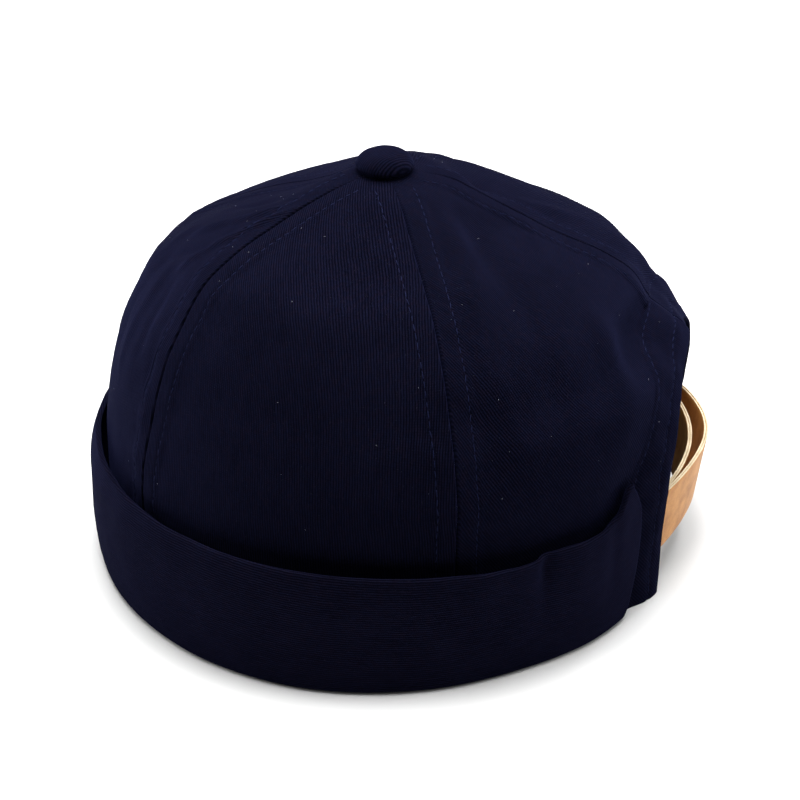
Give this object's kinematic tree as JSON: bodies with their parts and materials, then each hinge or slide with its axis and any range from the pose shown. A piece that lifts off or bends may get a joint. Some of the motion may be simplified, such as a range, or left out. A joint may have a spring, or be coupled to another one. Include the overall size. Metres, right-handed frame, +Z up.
{
  "type": "brimless sailor cap with a turned-up cuff and a leather back strap",
  "caption": "Soft brimless sailor cap: panelled cotton twill crown with a covered button, a turned-up cuff, an arched back opening and a leather strap with a brass buckle.",
  "frame": {"origin": "middle of the whole cap's base, on the surface that it rests on", "axes": "+Z up through the button, -Y towards the front, +Y towards the opening and the strap, +X towards the wearer's left"},
  "size_m": [0.196, 0.208, 0.1412],
  "materials": {
    "crown_twill": "matt cotton twill",
    "cuff_twill": "matt cotton twill",
    "strap_leather": "smooth tan leather, pale edges",
    "brass": "satin"
  },
  "bodies": {
    "root": {"panel_front": "crown_twill", "panel_left_side": "crown_twill", "panel_left_back": "crown_twill", "panel_right_back": "crown_twill", "panel_right_side": "crown_twill", "back_facing": "crown_twill", "cuff": "cuff_twill", "top_button": "crown_twill", "strap": "strap_leather", "strap_tab": "strap_leather", "buckle": "brass"}
  },
  "joints": []
}
